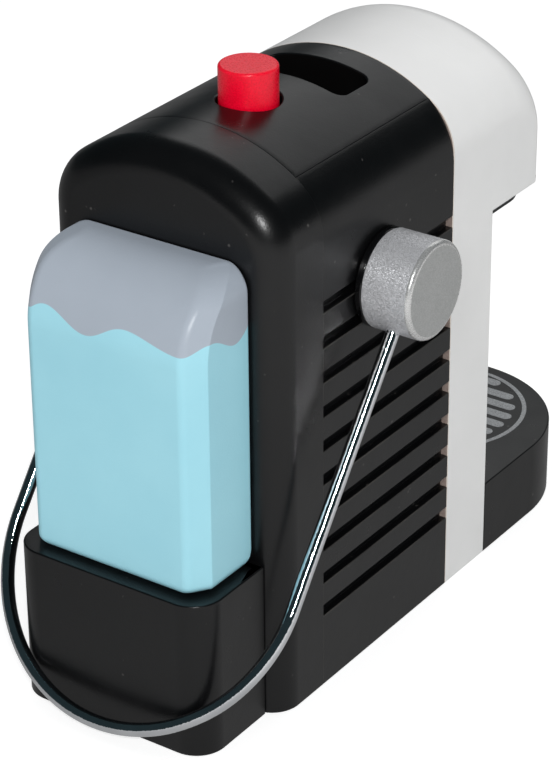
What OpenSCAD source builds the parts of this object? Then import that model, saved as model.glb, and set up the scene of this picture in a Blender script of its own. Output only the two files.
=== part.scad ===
// Toy coffee maker in painted wood, with a swinging wire bail, a spring-loaded button and a lift-off tank.
// Millimetres. +Z is up, -Y is the front, +X is the right-hand side seen from the front. The origin is on
// the floor, under the middle of the front panel.

/* [Body] */
// Width of the body across its side panels
body_w = 100; // [84:1:120]
// Height of the body to the crown of its arch
body_h = 216; // [180:1:256]
// Radius of the arch over the crown
crown_r = 68.5; // [64:0.5:80]
// Radius of the arch at each shoulder
shoulder_r = 24; // [18:0.5:28]
// Thickness of the front panel
front_t = 29; // [24:0.5:34]
// Depth of the black core between the front panel and the back board
core_d = 86; // [78:1:100]
// Thickness of the back board
back_t = 28; // [24:0.5:34]
// Rounding of the back board's rear edge
back_round = 11.5; // [8:0.5:14]
// Thickness of each side panel
side_t = 11.5; // [10:0.5:14]
// Height of the top block at the crown
top_h = 44; // [38:0.5:50]
// Rounding of the sharp edges left by the cutter
edge_r = 1; // [0.5:0.1:1.5]

/* [Vent grooves] */
// Drop from the crown to the upper edge of the first groove
groove_drop = 56.2; // [54:0.2:62]
// Distance from one groove to the next
groove_pitch = 13.86; // [12:0.01:16]
// Height of each groove
groove_h = 4.7; // [3:0.1:6]
// Depth of each groove
groove_depth = 3; // [2:0.1:4]
// Plain height kept under the lowest groove
groove_foot = 29; // [22:1:38]

/* [Head and spout] */
// Height of the head from its underside to the crown
head_h = 65.5; // [58:0.5:78]
// Reach of the head in front of the front panel
head_reach = 34; // [28:0.5:40]
// Radius where the head's top rolls over to its front
head_round = 17; // [12:0.5:20]
// Thickness of the plate under the head
plate_t = 3; // [2:0.5:4]
// Inset of the plate from the head's sides and front
plate_inset = 2; // [1:0.5:4]
// Corner radius at the front of the plate
plate_corner = 15; // [10:0.5:18]
// Diameter of the spout
spout_d = 24; // [20:0.5:28]
// Length of the spout under the plate
spout_h = 16; // [12:0.5:20]
// Distance from the front panel to the spout's axis
spout_reach = 17; // [15:0.5:18]
// Diameter of the outlet bored in the spout
outlet_d = 7; // [5:0.5:9]
// Depth of the outlet
outlet_depth = 5; // [3:0.5:6]
// Rounding of the spout's lower edge
spout_lip = 3; // [1:0.25:4]
// Height that the spout's dowel goes into the spout
spout_seat = 8; // [5:0.5:9]

/* [Base] */
// Height of the base block
base_h = 31.6; // [26:0.2:38]
// Reach of the base block in front of the front panel
base_reach = 88; // [74:1:104]
// Outer radius of the printed ring
ring_r = 36.8; // [32:0.2:40]
// Width of the ring's line
ring_line = 1.8; // [1:0.1:2.6]
// Distance from the front of the base to the middle of the ring
ring_setback = 42.5; // [40:0.5:46]
// Distance between the printed bars
bar_pitch = 7.65; // [6.5:0.05:8.5]
// Width of each printed bar
bar_w = 4.8; // [3.5:0.1:5.5]
// Number of printed bars on each side of the middle one
bars_each_side = 4; // [3:1:4]
// Clear space between the longest bar's tip and the ring's outer edge
bar_margin = 5.3; // [4:0.1:7]
// Clear space between the front and rear of the curve through the bars' tips and the ring's outer edge
bar_end_margin = 3.8; // [3:0.1:4.4]
// Thickness of the print
print_t = 0.2; // [0.1:0.05:0.3]

/* [Tank and ledge] */
// Height of the ledge that carries the tank
ledge_h = 63.6; // [54:0.2:76]
// Depth of the ledge behind the back board
ledge_d = 38; // [34:0.5:44]
// Setback of the ledge's sides from the body's sides
ledge_inset = 7; // [5:0.5:9]
// Radius of the ledge's upright corners
ledge_corner = 12; // [9:0.5:14]
// Rim left around the tank on top of the ledge
tank_rim = 4.2; // [3:0.2:6]
// Drop from the crown to the top of the tank
tank_drop = 34.2; // [30:0.2:42]
// Radius where the tank's top rolls over to its back
tank_round = 29; // [22:0.5:30]
// Rounding of the tank's top side edges
tank_side_round = 10; // [7:0.5:12]
// Radius of the tank's upright back corners
tank_corner = 7; // [5:0.25:14]
// Rounding of the tank's lower edge
tank_edge = 4; // [1:0.25:5]
// Rounding of the tank's upright edges beside the back board
tank_front_round = 2; // [0.5:0.25:3]
// Diameter of the locating pegs
peg_d = 8; // [6:0.5:10]
// Distance between the two pegs
peg_span = 44; // [36:1:52]
// Depth of each peg in the tank and in the ledge
peg_depth = 10; // [8:0.5:12]

/* [Capsule slot] */
// Width of the slot from side to side
slot_w = 45; // [38:0.5:50]
// Length of the slot from front to back
slot_l = 20.4; // [17:0.2:24]
// Distance from the front panel's rear face to the middle of the slot
slot_y = 23.5; // [20:0.5:25]
// Corner radius of the slot
slot_corner = 4.5; // [3:0.5:6]

/* [Button] */
// Diameter of the button
button_d = 21.9; // [18:0.1:26]
// Height of the button above the crown
button_proud = 12.8; // [10:0.2:15]
// Full height of the button
button_h = 24; // [21:0.5:28]
// Travel of the button
button_travel = 7; // [5:0.5:8]
// Height left between the turns of the button's spring when the button is down
spring_slack = 1.8; // [1.2:0.1:2.4]
// Rounding of the button's top edge
button_round = 1.1; // [0.6:0.1:2.5]
// Distance from the front panel's rear face to the button's axis
button_y = 59; // [57:0.5:62]
// Gap around the button in its hole
button_gap = 1.05; // [0.6:0.05:1.5]
// Diameter of the button's stem
stem_d = 8; // [6.5:0.5:9]
// Wire diameter of the button's spring
spring_wire = 1.2; // [0.8:0.1:1.4]
// Outer diameter of the button's spring
spring_d = 17.6; // [15:0.2:20]
// Turns of the button's spring
spring_turns = 5; // [4:1:5]
// Diameter of the washer under the stem
washer_d = 10.8; // [9.8:0.2:11]
// Thickness of the washer under the stem
washer_t = 1.5; // [1:0.25:2]

/* [Knobs and bail] */
// Drop from the crown to the pivot axis
axis_drop = 61.2; // [60:0.2:66]
// Distance from the front panel's rear face to the pivot axis
axis_y = 48.5; // [46:0.5:50]
// Diameter of the axle
axle_d = 10; // [8:0.5:10.5]
// Diameter of the knobs
knob_d = 37.2; // [31:0.2:44]
// Length of each knob
knob_l = 20; // [17:0.5:24]
// Thickness of the spacer ring behind each knob
spacer_t = 2.7; // [2:0.1:4]
// Rounding of each knob's outer edge
knob_round = 1.8; // [0.8:0.1:2.4]
// Wood left between the axle's end and the knob's face
knob_face = 4; // [3:0.5:6]
// Diameter of the bail's wire
wire_d = 5.2; // [4:0.1:6]
// Length of the bail's straight legs, from the pivot axis to the start of the bow
bail_leg = 123.4; // [105:0.2:150]
// Distance from the middle of the knob's length to the wire, towards the body
wire_inset = 1; // [0:0.25:3]
// Gap between the end of the wire and the axle
wire_stop = 2; // [1:0.5:3]

/* [Dowels and fits] */
// Diameter of the joining dowels
dowel_d = 8; // [6:0.5:9]
// Depth of a dowel in each of the two pieces that it joins
dowel_depth = 15; // [10:0.5:17]
// Diameter of the thinner dowels in the side panels
side_dowel_d = 5; // [4:0.5:6]
// Depth of a thinner dowel in the side panel's face
side_dowel_depth = 7; // [5:0.5:8]
// Radial clearance of a fixed dowel or of the wire in its hole
press_gap = 0.05; // [0.02:0.01:0.1]
// Air left at the end of a dowel
end_gap = 0.5; // [0.3:0.1:1]
// Radial clearance of the axle and the stem where they turn or slide
run_gap = 0.08; // [0.05:0.01:0.1]
// Gap between pieces that move past each other
free_gap = 0.3; // [0.2:0.05:0.5]

/* [Hidden] */
$fn = 72;

// Colours of the finish
black = [0.07, 0.07, 0.07];
white = [0.88, 0.88, 0.87];
silver = [0.72, 0.73, 0.74];
red = [0.85, 0.05, 0.12];
water = [0.62, 0.83, 0.88];
bare_wood = [0.83, 0.68, 0.50];
steel = [0.60, 0.61, 0.63];

// Planes across the body, from front to back
half_w = body_w / 2;
panel_front = -front_t / 2;
panel_rear = front_t / 2;
core_rear = panel_rear + core_d;
back_rear = core_rear + back_t;
ledge_rear = back_rear + ledge_d;
head_front = panel_front - head_reach;
base_front = panel_front - base_reach;
// Levels
head_z = body_h - head_h;
top_z = body_h - top_h;
axis_z = body_h - axis_drop;
tank_z = ledge_h + free_gap;
tank_top = body_h - tank_drop;
// The arch: a crown arc that runs into a shoulder arc on each side
crown_z = body_h - crown_r;
shoulder_x = half_w - shoulder_r;
shoulder_z = crown_z + sqrt(pow(crown_r - shoulder_r, 2) - pow(shoulder_x, 2));
arch_turn = atan2(shoulder_z - crown_z, shoulder_x);
arch_steps = 8;
round_steps = 7;
overcut = 1;
// Side panels and their grooves
side_in = half_w - side_t;
side_mid = half_w - groove_depth - (side_t - groove_depth) / 2;
groove_top = body_h - groove_drop;
groove_count = floor((groove_top - groove_h - groove_foot) / groove_pitch) + 1;
// Dowel places
low_dowel_z = 40;
under_axle = 20;
high_dowel_z = axis_z - axle_d / 2 - under_axle;
top_dowel_inset = 16;
top_dowel_rise = 11;
top_dowel_z = top_z + top_dowel_rise;
base_dowel_inset = 20;
base_dowel_x = half_w - base_dowel_inset;
head_dowel_x = 22;
head_dowel_rise = 24;
head_dowel_z = head_z + head_dowel_rise;
ledge_dowel_x = 25;
// Spout
spout_at = panel_front - spout_reach;
spout_z = head_z - plate_t - spout_h;
// Tank
tank_half = half_w - ledge_inset - tank_rim;
tank_front = back_rear + free_gap;
tank_rear = ledge_rear - tank_rim;
// Largest share of a level's depth that its round corners may take
tank_shallow = 0.8;
peg_y = (tank_front + tank_rear) / 2;
foot_steps = 3;
front_steps = 2;
peg_chamfer = 0.8;
// Button
button_axis = panel_rear + button_y;
button_top = body_h + button_proud;
button_foot = button_top - button_h;
spring_room = button_travel + spring_turns * spring_wire + spring_slack;
well_z = button_foot - spring_room;
well_r = button_d / 2 + button_gap;
stem_seat = 10;
stem_foot = top_z - free_gap;
screw_d = 3;
screw_l = 12;
screw_head_d = 5.6;
screw_head_t = 1.8;
// Knobs, axle and bail
axis_at = panel_rear + axis_y;
spacer_in = half_w + free_gap;
knob_in = spacer_in + spacer_t;
knob_out = knob_in + knob_l;
bail_x = (knob_in + knob_out) / 2 - wire_inset;
wire_r = wire_d / 2;
wire_end = axle_d / 2 + wire_stop;

// The bail hangs back from the vertical until its bow meets the ledge or the floor. Each point of the
// bow is given by its angle along the bow, and the smallest tilt that keeps free_gap is the rest tilt.
function bow_point(tilt, a) =
    let (s = bail_leg + bail_x * sin(a))
    [bail_x * cos(a), axis_at + s * sin(tilt), axis_z - s * cos(tilt)];
function ledge_distance(p) =
    let (qx = abs(p[0]) - (half_w - ledge_inset - ledge_corner),
         qy = p[1] - (ledge_rear - ledge_corner),
         flat = norm([max(qx, 0), max(qy, 0)]) + min(max(qx, qy), 0) - ledge_corner,
         rise = p[2] - ledge_h)
    norm([max(flat, 0), max(rise, 0)]) + min(max(flat, rise), 0);
function bail_room(tilt) =
    min([for (a = [0:3:90]) min(ledge_distance(bow_point(tilt, a)), bow_point(tilt, a)[2])]);
bail_tilt = min([for (t = [20:0.1:85]) if (bail_room(t) >= wire_r + free_gap) t]);

// Points of the arch from the right shoulder over the crown to the left one, drawn in by an inset
function arch_points(inset) =
    let (right = [for (i = [0:arch_steps]) let (a = arch_turn * i / arch_steps)
                  [shoulder_x + (shoulder_r - inset) * cos(a), shoulder_z + (shoulder_r - inset) * sin(a)]],
         crown = [for (i = [1:2 * arch_steps - 1])
                  let (a = arch_turn + (180 - 2 * arch_turn) * i / (2 * arch_steps))
                  [(crown_r - inset) * cos(a), crown_z + (crown_r - inset) * sin(a)]],
         left = [for (i = [arch_steps:-1:0]) [-right[i][0], right[i][1]]])
    concat(right, crown, left);
// The same arch lowered by a drop, closed down to a foot, as a ring at one place along Y
function arch_ring(y, inset, drop, foot) =
    concat([[-(half_w - inset), y, foot], [half_w - inset, y, foot]],
           [for (p = arch_points(inset)) [p[0], y, p[1] - drop]]);
// How far a quarter round of radius r has fallen back at a distance d before its end
function fall_back(r, d) = d >= r ? 0 : r - sqrt(r * r - pow(r - d, 2));
// Distances that step round a quarter of radius r evenly, from its start to its end
function quarter(r, n) = [for (i = [0:n]) r * (1 - sin(90 * i / n))];

// A closed skin over rings of equal length; turned swaps the inside and the outside
module loft(rings, turned = false) {
    n = len(rings[0]);
    m = len(rings);
    sides = [for (i = [0:m - 2], j = [0:n - 1])
             let (a = i * n + j, b = i * n + (j + 1) % n, c = b + n, d = a + n)
             each [[a, b, c], [a, c, d]]];
    caps = [[for (j = [n - 1:-1:0]) j], [for (j = [0:n - 1]) (m - 1) * n + j]];
    all_faces = concat(sides, caps);
    faces = turned ? [for (f = all_faces) [for (k = [len(f) - 1:-1:0]) f[k]]] : all_faces;
    polyhedron(points = [for (r = rings) each r], faces = faces, convexity = 6);
}

// Outline of the body seen from the front
module arch_outline() {
    wedge = 2 * crown_r;
    translate([-half_w, 0]) square([body_w, shoulder_z]);
    for (s = [-1, 1]) translate([s * shoulder_x, shoulder_z]) circle(shoulder_r);
    intersection() {
        translate([0, crown_z]) circle(crown_r, $fn = 180);
        polygon([[0, crown_z],
                 [wedge * cos(arch_turn), crown_z + wedge * sin(arch_turn)],
                 [-wedge * cos(arch_turn), crown_z + wedge * sin(arch_turn)]]);
    }
}

// A slab of the arch between two planes across Y
module arch_slab(y0, y1) {
    translate([0, y1, 0]) rotate([90, 0, 0]) linear_extrude(y1 - y0) arch_outline();
}

// A rod along Y or X, centred on a point
module rod_y(x, y, z, d, l) {
    translate([x, y, z]) rotate([90, 0, 0]) cylinder(d = d, h = l, center = true);
}
module rod_x(x, y, z, d, l) {
    translate([x, y, z]) rotate([0, 90, 0]) cylinder(d = d, h = l, center = true);
}

// Places of the dowels of each joint, as [x, y, z] of the joint face
side_dowel_spots = [for (s = [-1, 1], z = [low_dowel_z, high_dowel_z]) [s * side_mid, 0, z]];
top_dowel_spots = [for (s = [-1, 1], y = [panel_rear + top_dowel_inset, core_rear - top_dowel_inset])
                   [s * side_in, y, top_dowel_z]];
base_dowel_spots = [for (s = [-1, 1]) [s * base_dowel_x, panel_front, base_h / 2]];
head_dowel_spots = [for (s = [-1, 1]) [s * head_dowel_x, panel_front, head_dowel_z]];
ledge_dowel_spots = [for (s = [-1, 1]) [s * ledge_dowel_x, back_rear, ledge_h / 2]];

// Dowels and the holes for them, across a joint that faces Y or X
module dowels_y(spots, y, d = dowel_d) { for (p = spots) rod_y(p[0], y, p[2], d, 2 * dowel_depth); }
module dowel_holes_y(spots, y, d = dowel_d) {
    for (p = spots) rod_y(p[0], y, p[2], d + 2 * press_gap, 2 * (dowel_depth + end_gap));
}
module dowels_x(spots) {
    for (p = spots) rod_x(p[0], p[1], p[2], side_dowel_d, 2 * side_dowel_depth);
}
module dowel_holes_x(spots) {
    for (p = spots)
        rod_x(p[0], p[1], p[2], side_dowel_d + 2 * press_gap, 2 * (side_dowel_depth + end_gap));
}

// Outline of the base block, square at the back and round at the front
module base_outline() {
    intersection() {
        translate([0, base_front + half_w]) circle(half_w, $fn = 120);
        translate([-half_w, base_front]) square([body_w, half_w]);
    }
    translate([-half_w, base_front + half_w]) square([body_w, base_reach - half_w]);
}

module base_block() {
    color(black) difference() {
        linear_extrude(base_h) base_outline();
        dowel_holes_y(base_dowel_spots, panel_front);
    }
}

module base_dowels() { color(bare_wood) dowels_y(base_dowel_spots, panel_front); }

// Half the length of a printed bar that lies a distance away from the ring's middle
function bar_reach(d) = (ring_r - bar_margin) * sqrt(1 - pow(d / (ring_r - bar_end_margin), 2));

module drip_grate_print() {
    color(silver) translate([0, base_front + ring_setback, base_h]) linear_extrude(print_t) {
        difference() {
            circle(ring_r);
            circle(ring_r - ring_line);
        }
        for (k = [-bars_each_side:bars_each_side]) translate([0, k * bar_pitch]) {
            half = bar_reach(k * bar_pitch) - bar_w / 2;
            square([2 * half, bar_w], center = true);
            for (s = [-1, 1]) translate([s * half, 0]) circle(d = bar_w, $fn = 24);
        }
    }
}

module front_panel() {
    color(white) difference() {
        arch_slab(panel_front, panel_rear);
        dowel_holes_y(side_dowel_spots, panel_rear, side_dowel_d);
        dowel_holes_y(base_dowel_spots, panel_front);
        dowel_holes_y(head_dowel_spots, panel_front);
    }
}

// The head keeps the body's arch and lowers it along a quarter round towards the front
module head_block() {
    rings = concat([arch_ring(panel_front, 0, 0, head_z)],
                   [for (d = quarter(head_round, round_steps))
                    arch_ring(head_front + d, 0, fall_back(head_round, d), head_z)]);
    color(white) difference() {
        loft(rings);
        dowel_holes_y(head_dowel_spots, panel_front);
        spout_dowel_hole();
    }
}

module head_dowels() { color(bare_wood) dowels_y(head_dowel_spots, panel_front); }

module spout_dowel_hole() {
    translate([0, spout_at, head_z - plate_t - spout_seat - end_gap])
        cylinder(d = dowel_d + 2 * press_gap, h = plate_t + spout_seat + dowel_depth + 2 * end_gap);
}

// Plate under the head, with round front corners
module brew_plate() {
    x = half_w - plate_inset;
    front = head_front + plate_inset;
    color(black) translate([0, 0, head_z - plate_t]) difference() {
        linear_extrude(plate_t) union() {
            translate([-x, front + plate_corner]) square([2 * x, panel_front - front - plate_corner]);
            translate([-x + plate_corner, front])
                square([2 * (x - plate_corner), plate_corner + overcut]);
            for (s = [-1, 1])
                translate([s * (x - plate_corner), front + plate_corner]) circle(plate_corner);
        }
        translate([0, 0, plate_t - head_z]) spout_dowel_hole();
    }
}

// Turned spout with a rounded lip and a bored outlet
module coffee_spout() {
    r = spout_d / 2;
    color(black) difference() {
        translate([0, spout_at, spout_z]) rotate_extrude() {
            square([r - spout_lip, spout_h]);
            translate([0, spout_lip]) square([r, spout_h - spout_lip]);
            intersection() {
                translate([r - spout_lip, spout_lip]) circle(spout_lip, $fn = 32);
                square([r, spout_lip + overcut]);
            }
        }
        translate([0, spout_at, spout_z - overcut]) cylinder(d = outlet_d, h = outlet_depth + overcut);
        spout_dowel_hole();
    }
}

module spout_dowel() {
    color(bare_wood) translate([0, spout_at, head_z - plate_t - spout_seat])
        cylinder(d = dowel_d, h = plate_t + spout_seat + dowel_depth);
}

// Side panel that carries one shoulder of the arch and the vent grooves, for side -1 (left) or 1 (right)
module side_panel(side) {
    x0 = side > 0 ? side_in : -half_w - overcut;
    groove_x = side > 0 ? half_w - groove_depth : -half_w - overcut;
    difference() {
        intersection() {
            arch_slab(panel_rear, core_rear);
            translate([x0, panel_rear - overcut, -overcut])
                cube([side_t + overcut, core_d + 2 * overcut, body_h + 2 * overcut]);
        }
        for (i = [0:groove_count - 1])
            translate([groove_x, panel_rear - overcut, groove_top - groove_h - i * groove_pitch])
                cube([groove_depth + overcut, core_d + 2 * overcut, groove_h]);
        rod_x(side * (side_in + side_t / 2), axis_at, axis_z, axle_d + 2 * run_gap, side_t + 2 * overcut);
        dowel_holes_y(side_dowel_spots, panel_rear, side_dowel_d);
        dowel_holes_y(side_dowel_spots, core_rear, side_dowel_d);
        dowel_holes_x(top_dowel_spots);
    }
}

module left_side_panel() { color(black) side_panel(-1); }
module right_side_panel() { color(black) side_panel(1); }
module front_panel_dowels() { color(bare_wood) dowels_y(side_dowel_spots, panel_rear, side_dowel_d); }
module back_board_dowels() { color(bare_wood) dowels_y(side_dowel_spots, core_rear, side_dowel_d); }
module top_block_dowels() { color(bare_wood) dowels_x(top_dowel_spots); }

// Back board, rounded all the way along its rear edge
module back_board() {
    rings = concat([arch_ring(core_rear, 0, 0, 0)],
                   [for (d = quarter(back_round, round_steps))
                    arch_ring(back_rear - d, fall_back(back_round, d), 0, 0)]);
    color(black) difference() {
        loft(rings, turned = true);
        dowel_holes_y(side_dowel_spots, core_rear, side_dowel_d);
        dowel_holes_y(ledge_dowel_spots, back_rear);
    }
}

// Outline of the capsule slot
module slot_outline() {
    x = slot_w / 2 - slot_corner;
    y = slot_l / 2 - slot_corner;
    square([slot_w, 2 * y], center = true);
    square([2 * x, slot_l], center = true);
    for (sx = [-1, 1], sy = [-1, 1]) translate([sx * x, sy * y]) circle(slot_corner, $fn = 32);
}

// Crown of the arch between the side panels, with the capsule slot and the button's well
module top_block() {
    color(black) difference() {
        intersection() {
            arch_slab(panel_rear, core_rear);
            translate([-side_in, panel_rear - overcut, top_z])
                cube([2 * side_in, core_d + 2 * overcut, top_h + overcut]);
        }
        translate([0, panel_rear + slot_y, top_z - overcut])
            linear_extrude(top_h + 2 * overcut) slot_outline();
        translate([0, button_axis, well_z]) cylinder(r = well_r, h = body_h + overcut - well_z);
        translate([0, button_axis, top_z - overcut])
            cylinder(d = stem_d + 2 * run_gap, h = top_h);
        dowel_holes_x(top_dowel_spots);
    }
}

// Outline of the ledge, square at the front and round at its back corners
module ledge_outline() {
    x = half_w - ledge_inset;
    translate([-x, back_rear]) square([2 * x, ledge_d - ledge_corner]);
    translate([-x + ledge_corner, ledge_rear - ledge_corner - overcut])
        square([2 * (x - ledge_corner), ledge_corner + overcut]);
    for (s = [-1, 1])
        translate([s * (x - ledge_corner), ledge_rear - ledge_corner]) circle(ledge_corner);
}

module tank_ledge() {
    color(black) difference() {
        linear_extrude(ledge_h) ledge_outline();
        dowel_holes_y(ledge_dowel_spots, back_rear);
        for (s = [-1, 1]) translate([s * peg_span / 2, peg_y, ledge_h - peg_depth - end_gap])
            cylinder(d = peg_d + 2 * free_gap, h = peg_depth + end_gap + overcut);
    }
}

module ledge_dowels() { color(bare_wood) dowels_y(ledge_dowel_spots, back_rear); }

// One level of the tank, with small round corners at the front and large ones at the back
function tank_ring(z, side_in, back_in, all_in) =
    let (x = tank_half - side_in - all_in,
         rear = tank_rear - back_in - all_in,
         front = tank_front + all_in,
         room = rear - front,
         near = min(tank_front_round, (1 - tank_shallow) * room / 2),
         corner = min(tank_corner, tank_shallow * room),
         right = concat([for (i = [0:front_steps]) let (a = 90 * i / front_steps - 90)
                         [x - near + near * cos(a), front + near + near * sin(a), z]],
                        [for (i = [0:round_steps]) let (a = 90 * i / round_steps)
                         [x - corner + corner * cos(a), rear - corner + corner * sin(a), z]]),
         left = [for (i = [len(right) - 1:-1:0]) [-right[i][0], right[i][1], z]])
    concat(right, left);

// Solid tank whose top rolls over to the back and to the sides
module water_tank() {
    foot = [for (i = [0:foot_steps]) let (d = tank_edge * (1 - cos(90 * i / foot_steps)))
            tank_ring(tank_z + d, 0, 0, fall_back(tank_edge, d))];
    crown = [for (d = quarter(tank_round, 2 * round_steps))
             tank_ring(tank_top - d, fall_back(tank_side_round, d), fall_back(tank_round, d), 0)];
    color(water) difference() {
        loft(concat(foot, crown));
        for (s = [-1, 1]) translate([s * peg_span / 2, peg_y, tank_z - overcut])
            cylinder(d = peg_d + 2 * press_gap, h = peg_depth + end_gap + overcut);
    }
}

// Pegs glued in the tank, with a bevelled lower end
module tank_pegs() {
    r = peg_d / 2;
    color(bare_wood) for (s = [-1, 1]) translate([s * peg_span / 2, peg_y, tank_z - peg_depth])
        rotate_extrude() polygon([[0, 0], [r - peg_chamfer, 0], [r, peg_chamfer],
                                  [r, 2 * peg_depth], [0, 2 * peg_depth]]);
}

// Turned piece with its axis on Z: radius r, height h, the edges rounded at the top and at the foot
module turned_block(r, h, top_r, foot_r) {
    rotate_extrude() difference() {
        square([r, h]);
        translate([r - top_r, h - top_r]) difference() {
            square([top_r + overcut, top_r + overcut]);
            circle(top_r, $fn = 40);
        }
        translate([r - foot_r, foot_r]) mirror([0, 1]) difference() {
            square([foot_r + overcut, foot_r + overcut]);
            circle(foot_r, $fn = 40);
        }
    }
}

module button_cap() {
    color(red) translate([0, button_axis, button_foot]) difference() {
        turned_block(button_d / 2, button_h, button_round, edge_r);
        translate([0, 0, -overcut])
            cylinder(d = stem_d + 2 * press_gap, h = stem_seat + end_gap + overcut);
    }
}

module button_stem() {
    color(bare_wood) translate([0, button_axis, stem_foot]) difference() {
        cylinder(d = stem_d, h = button_foot + stem_seat - stem_foot);
        translate([0, 0, -overcut])
            cylinder(d = screw_d + 2 * press_gap, h = screw_l + end_gap + overcut);
    }
}

// Compression spring with one close turn at each end; it fills the room between the well and the button
spring_sides = 8;
spring_rings = 16;
closed_pitch = spring_wire + 0.45;
module button_spring() {
    coil_r = (spring_d - spring_wire) / 2;
    last = spring_turns * spring_rings;
    climb = spring_room - spring_wire;
    function level(t) = t < 1 ? closed_pitch * t
        : t > spring_turns - 1 ? climb - closed_pitch * (spring_turns - t)
        : closed_pitch + (climb - 2 * closed_pitch) * (t - 1) / (spring_turns - 2);
    rings = [for (i = [0:last]) let (t = i / spring_rings, a = 360 * t)
             [for (k = [0:spring_sides - 1])
              let (b = 360 * k / spring_sides, q = coil_r + spring_wire / 2 * cos(b))
              [q * cos(a), button_axis + q * sin(a),
               well_z + spring_wire / 2 + level(t) + spring_wire / 2 * sin(b)]]];
    color(steel) loft(rings, turned = true);
}

module button_washer() {
    color(steel) translate([0, button_axis, stem_foot - washer_t]) difference() {
        cylinder(d = washer_d, h = washer_t);
        translate([0, 0, -overcut])
            cylinder(d = screw_d + 2 * press_gap, h = washer_t + 2 * overcut);
    }
}

module button_screw() {
    color(steel) translate([0, button_axis, stem_foot - washer_t]) {
        cylinder(d = screw_d, h = screw_l + washer_t);
        translate([0, 0, -screw_head_t]) cylinder(d = screw_head_d, h = screw_head_t);
    }
}

module handle_axle() { color(bare_wood) rod_x(0, axis_at, axis_z, axle_d, 2 * (knob_out - knob_face)); }

// Puts a piece turned on Z onto the pivot axis, with its foot at the given distance from the middle
module on_axis(side, x) {
    translate([side * x, axis_at, axis_z]) rotate([0, side * 90, 0]) children();
}

// Puts a piece in the bail's plane, with +Z running down from the pivot axis
module in_bail_plane() {
    translate([0, axis_at, axis_z]) rotate([180 + bail_tilt, 0, 0]) children();
}

// Puts a piece along one leg of the bail, with +Z running from the pivot axis to the bow
module along_leg(side) {
    in_bail_plane() translate([side * bail_x, 0, 0]) children();
}

module knob(side) {
    difference() {
        on_axis(side, knob_in) turned_block(knob_d / 2, knob_l, knob_round, edge_r / 2);
        rod_x(0, axis_at, axis_z, axle_d + 2 * press_gap, 2 * (knob_out - knob_face + end_gap));
        along_leg(side) translate([0, 0, wire_end - end_gap])
            cylinder(d = wire_d + 2 * press_gap, h = knob_d);
    }
}

module left_knob() { color(silver) knob(-1); }
module right_knob() { color(silver) knob(1); }

module spacer(side) {
    difference() {
        on_axis(side, spacer_in) turned_block(knob_d / 2, spacer_t, edge_r / 2, edge_r / 2);
        rod_x(0, axis_at, axis_z, axle_d + 2 * press_gap, 2 * knob_out);
    }
}

module left_spacer() { color(black) spacer(-1); }
module right_spacer() { color(black) spacer(1); }

// Wire bail: two straight legs let into the knobs, joined by a half-round bow
module wire_bail() {
    color(silver) {
        for (s = [-1, 1])
            along_leg(s) translate([0, 0, wire_end]) cylinder(d = wire_d, h = bail_leg - wire_end);
        in_bail_plane() translate([0, 0, bail_leg]) rotate([90, 0, 0])
            rotate_extrude(angle = 180, $fn = 144) translate([bail_x, 0]) circle(d = wire_d, $fn = 32);
    }
}

base_block();
base_dowels();
drip_grate_print();
front_panel();
head_block();
head_dowels();
brew_plate();
coffee_spout();
spout_dowel();
left_side_panel();
right_side_panel();
front_panel_dowels();
back_board();
back_board_dowels();
top_block();
top_block_dowels();
tank_ledge();
ledge_dowels();
water_tank();
tank_pegs();
button_cap();
button_stem();
button_spring();
button_washer();
button_screw();
handle_axle();
left_knob();
right_knob();
left_spacer();
right_spacer();
wire_bail();
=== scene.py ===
import math

import bmesh
import bpy
from mathutils import Matrix, Vector
from mathutils.geometry import delaunay_2d_cdt


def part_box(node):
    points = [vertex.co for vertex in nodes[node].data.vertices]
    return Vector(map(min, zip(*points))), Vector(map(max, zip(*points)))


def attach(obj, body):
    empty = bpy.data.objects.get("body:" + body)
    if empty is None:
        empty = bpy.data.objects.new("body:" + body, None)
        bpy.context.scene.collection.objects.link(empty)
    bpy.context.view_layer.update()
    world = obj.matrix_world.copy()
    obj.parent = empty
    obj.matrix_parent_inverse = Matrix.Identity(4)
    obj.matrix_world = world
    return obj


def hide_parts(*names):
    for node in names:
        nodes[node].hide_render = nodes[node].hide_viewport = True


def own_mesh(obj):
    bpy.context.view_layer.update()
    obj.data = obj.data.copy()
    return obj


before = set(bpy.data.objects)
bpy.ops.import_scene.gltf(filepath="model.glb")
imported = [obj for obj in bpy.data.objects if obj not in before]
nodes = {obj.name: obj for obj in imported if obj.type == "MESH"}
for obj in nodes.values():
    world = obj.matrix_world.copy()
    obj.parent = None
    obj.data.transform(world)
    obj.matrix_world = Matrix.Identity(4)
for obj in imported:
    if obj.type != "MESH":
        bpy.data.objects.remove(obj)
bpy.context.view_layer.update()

MM = 0.001


# ---------------------------------------------------------------- sizes, in millimetres, from the frame
def mm(node):
    """The lowest and highest corner of a CAD node."""
    lo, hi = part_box(node)
    return lo * 1000, hi * 1000


panel_lo, panel_hi = mm("front_panel")
back_lo, back_hi = mm("back_board")
head_lo, head_hi = mm("head_block")
base_lo, base_hi = mm("base_block")
plate_lo, plate_hi = mm("brew_plate")
spout_lo, spout_hi = mm("coffee_spout")
side_lo, side_hi = mm("right_side_panel")
top_lo, top_hi = mm("top_block")
ledge_lo, ledge_hi = mm("tank_ledge")
tank_lo, tank_hi = mm("water_tank")
peg_lo, peg_hi = mm("tank_pegs")
cap_lo, cap_hi = mm("button_cap")
spring_lo, spring_hi = mm("button_spring")
knob_lo, knob_hi = mm("right_knob")
ring_lo, ring_hi = mm("right_spacer")
bail_hi = mm("wire_bail")[1]

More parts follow.
